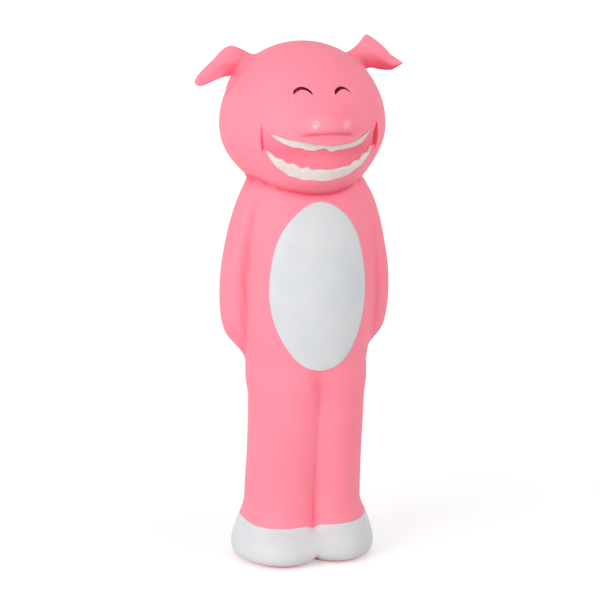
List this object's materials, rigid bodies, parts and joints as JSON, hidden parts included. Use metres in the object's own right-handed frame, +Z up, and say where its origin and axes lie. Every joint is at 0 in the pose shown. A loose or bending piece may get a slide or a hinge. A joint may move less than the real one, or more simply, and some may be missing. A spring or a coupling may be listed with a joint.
{
  "type": "latex animal dog toy",
  "caption": "Hollow latex dog toy in the shape of a standing, grinning pig, with painted belly, feet and teeth and a squeaker in its base.",
  "frame": {"origin": "on the floor, under the middle of the toy's width and of its depth from snout to the back of the head", "axes": "+Z up from the soles to the crown, -Y out of the pig's face, +X to the right of someone who faces the pig"},
  "size_m": [0.0891, 0.0748, 0.2162],
  "materials": {
    "pink_latex": "satin natural latex, pigmented pink",
    "white_paint": "thin flexible white paint, satin",
    "tooth_paint": "thin flexible off-white paint, hand painted",
    "eye_paint": "thin dark maroon paint line",
    "squeaker_plastic": "plain moulded polyethylene",
    "reed_film": "thin glossy polyester film"
  },
  "bodies": {
    "toy": {"latex_body": "pink_latex", "belly_paint": "white_paint", "right_foot_paint": "white_paint", "left_foot_paint": "white_paint", "upper_teeth_paint": "tooth_paint", "lower_teeth_paint": "tooth_paint", "right_eye_line": "eye_paint", "left_eye_line": "eye_paint", "squeaker_housing": "squeaker_plastic", "reed_block": "squeaker_plastic", "reed_clamp": "squeaker_plastic", "squeaker_cap": "squeaker_plastic"},
    "reed": {"squeaker_reed": "reed_film"}
  },
  "joints": [
    {"name": "reed_flutter", "type": "hinge", "parent": "toy", "child": "reed", "pos_m": [0, 0.00291, 0.007], "axis": [1, 0, 0], "range_deg": [-3, 1.5], "stiffness_Nm_per_rad": 0.001}
  ]
}
